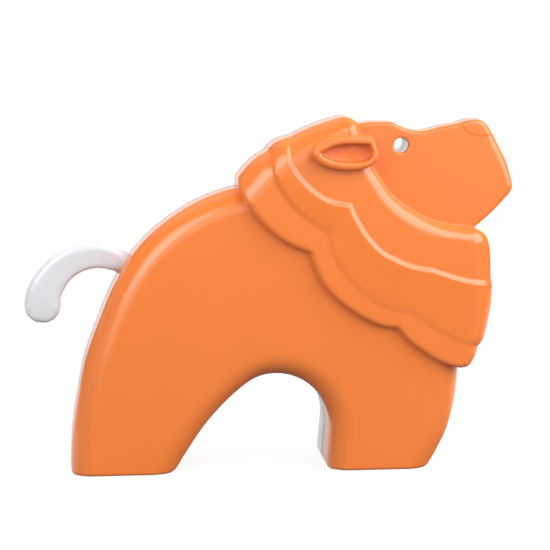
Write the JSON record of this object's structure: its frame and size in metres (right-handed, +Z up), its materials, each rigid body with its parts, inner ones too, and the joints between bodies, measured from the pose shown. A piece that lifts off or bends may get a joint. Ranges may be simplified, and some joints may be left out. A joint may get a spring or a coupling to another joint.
{
  "type": "baby rattle",
  "caption": "Moulded plastic lion rattle made as half shells, with a scalloped mane, an eye hole, an arch between the legs to hold it by, a hooked tail, and loose beads inside.",
  "frame": {"origin": "on the ground plane under the middle of the bounding box, on the parting plane of the two halves", "axes": "+X towards the nose, +Z up, +Y out of the far half's face"},
  "size_m": [0.1282, 0.0338, 0.0919],
  "materials": {
    "orange_plastic": "satin gloss",
    "white_plastic": "satin gloss",
    "bead_plastic": "satin"
  },
  "bodies": {
    "shell": {"near_shell": "orange_plastic", "far_shell": "white_plastic", "tail": "white_plastic"},
    "bead_1": {"bead_1": "bead_plastic"},
    "bead_2": {"bead_2": "bead_plastic"},
    "bead_3": {"bead_3": "bead_plastic"},
    "bead_4": {"bead_4": "bead_plastic"},
    "bead_5": {"bead_5": "bead_plastic"},
    "bead_6": {"bead_6": "bead_plastic"},
    "bead_7": {"bead_7": "bead_plastic"},
    "bead_8": {"bead_8": "bead_plastic"}
  },
  "joints": [
    {"name": "bead_1_slide", "type": "slide", "parent": "shell", "child": "bead_1", "axis": [0, 0, 1], "range_m": [0, 0.0172]},
    {"name": "bead_2_slide", "type": "slide", "parent": "shell", "child": "bead_2", "axis": [0, 0, 1], "range_m": [0, 0.0172]},
    {"name": "bead_3_slide", "type": "slide", "parent": "shell", "child": "bead_3", "axis": [0, 0, 1], "range_m": [0, 0.0172]},
    {"name": "bead_4_slide", "type": "slide", "parent": "shell", "child": "bead_4", "axis": [0, 0, 1], "range_m": [0, 0.0172]},
    {"name": "bead_5_slide", "type": "slide", "parent": "shell", "child": "bead_5", "axis": [0, 0, 1], "range_m": [0, 0.0172]},
    {"name": "bead_6_slide", "type": "slide", "parent": "shell", "child": "bead_6", "axis": [0, 0, 1], "range_m": [0, 0.0172]},
    {"name": "bead_7_slide", "type": "slide", "parent": "shell", "child": "bead_7", "axis": [0, 0, 1], "range_m": [0, 0.0172]},
    {"name": "bead_8_slide", "type": "slide", "parent": "shell", "child": "bead_8", "axis": [0, 0, 1], "range_m": [0, 0.0172]}
  ]
}
